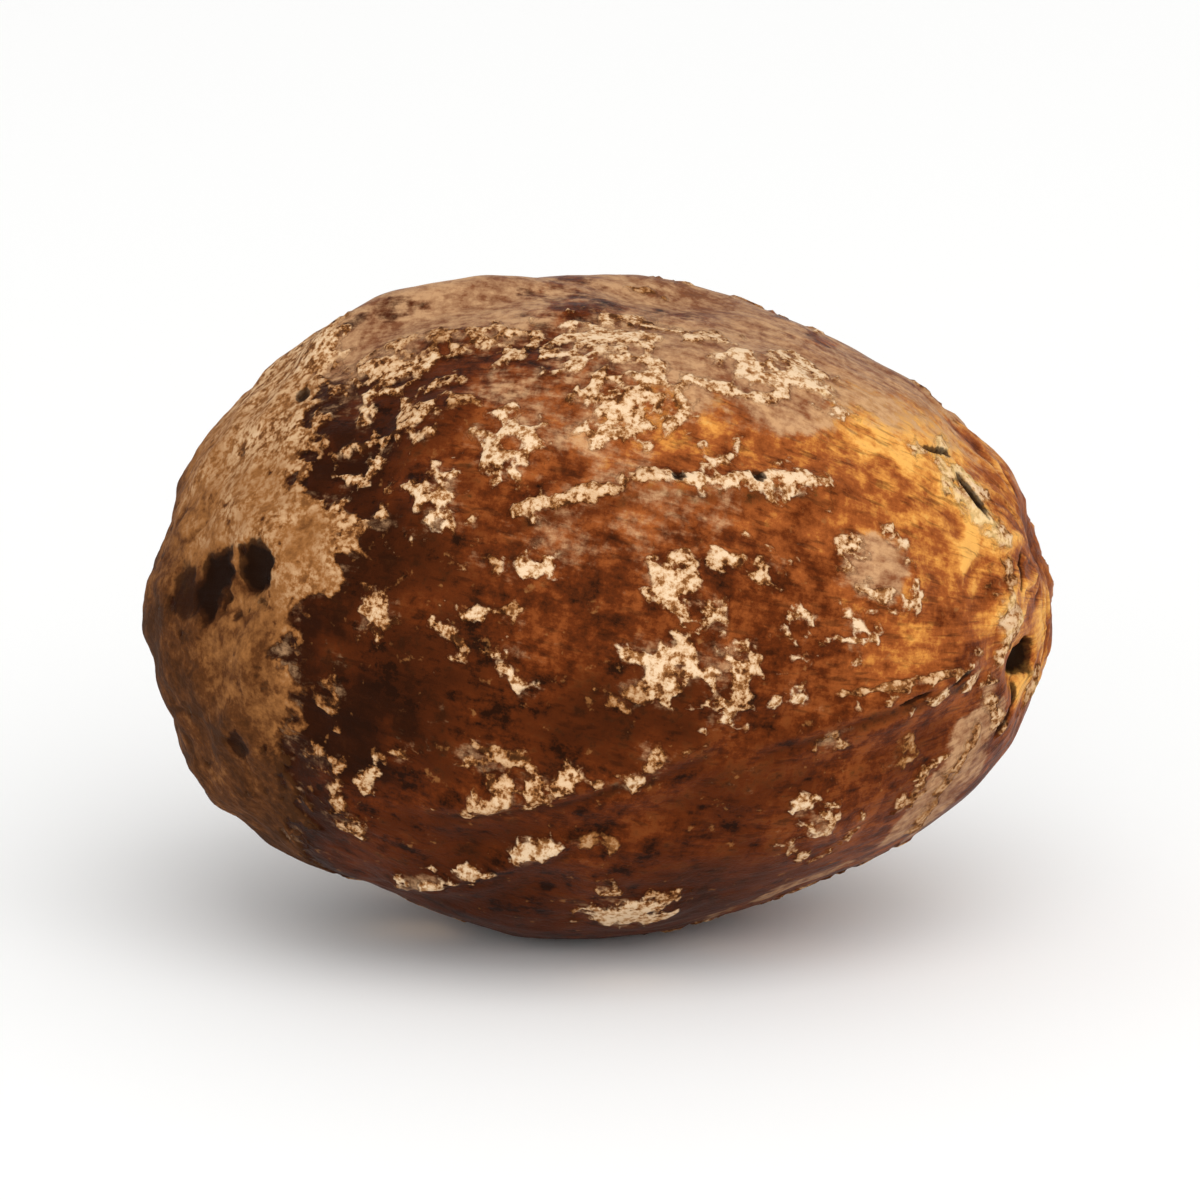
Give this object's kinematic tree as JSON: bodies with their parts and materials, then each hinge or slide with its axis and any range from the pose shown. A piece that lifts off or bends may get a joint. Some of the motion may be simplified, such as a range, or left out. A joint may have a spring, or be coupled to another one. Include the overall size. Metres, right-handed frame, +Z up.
{
  "type": "whole nutmeg",
  "caption": "Dried nutmeg seed in its brown shell: an egg-shaped seed with low ridges, pale flaking skin, a puckered hilum end and a small flat spot to lie on.",
  "frame": {"origin": "under the middle of the seed's box, on the surface that it lies on", "axes": "+X along the seed from its blunt end to its hilum end, -Y towards the side that the picture shows, +Z up"},
  "size_m": [0.03, 0.0228, 0.0218],
  "materials": {
    "nutmeg": "satin brown seed shell with flaking pale skin"
  },
  "bodies": {
    "root": {"nutmeg": "nutmeg"}
  },
  "joints": []
}
